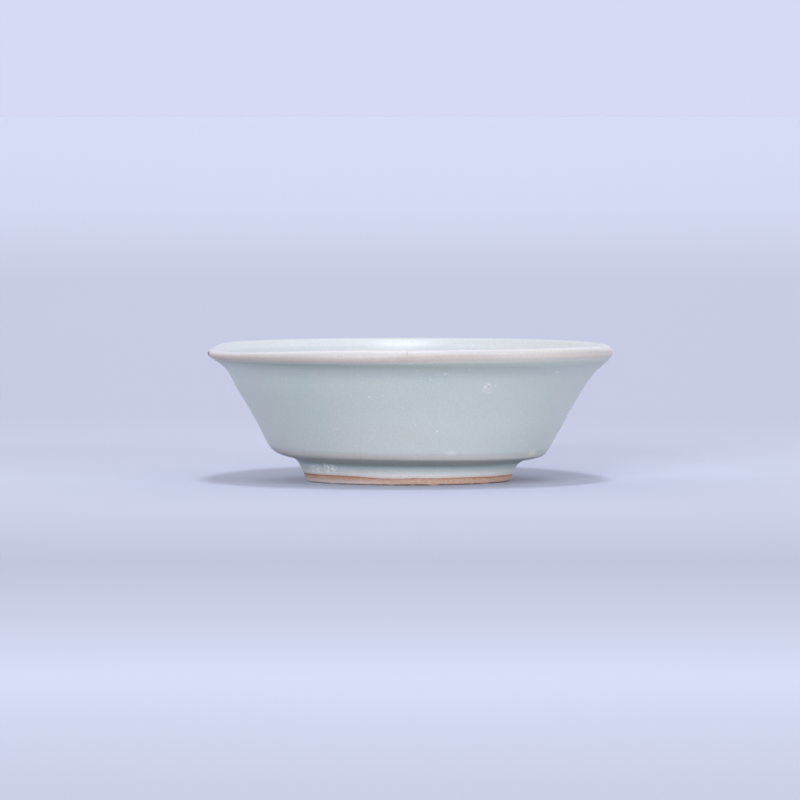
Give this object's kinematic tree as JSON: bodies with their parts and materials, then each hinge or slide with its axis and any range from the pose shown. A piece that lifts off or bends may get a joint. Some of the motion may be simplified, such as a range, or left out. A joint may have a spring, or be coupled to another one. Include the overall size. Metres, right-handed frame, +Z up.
{
  "type": "brush washer",
  "caption": "Shallow round brush washer: a flaring stoneware bowl with a turned-out lip on a foot ring, under pale celadon glaze, holding water to rinse writing brushes.",
  "frame": {"origin": "on the axis of the turned form, in the plane that the tread of the foot stands on", "axes": "+Z up along the axis, out of the mouth; +X and +Y are any two directions across, because the form is round"},
  "size_m": [0.12, 0.12, 0.0405],
  "materials": {
    "stoneware": "matte",
    "bare_foot": "matte",
    "celadon_glaze": "soft gloss",
    "thin_glaze": "soft gloss"
  },
  "bodies": {
    "root": {"clay_bowl": "stoneware", "foot_ring": "bare_foot", "inner_glaze": "celadon_glaze", "lip_glaze": "thin_glaze", "outer_glaze": "celadon_glaze", "base_glaze": "celadon_glaze"}
  },
  "joints": []
}
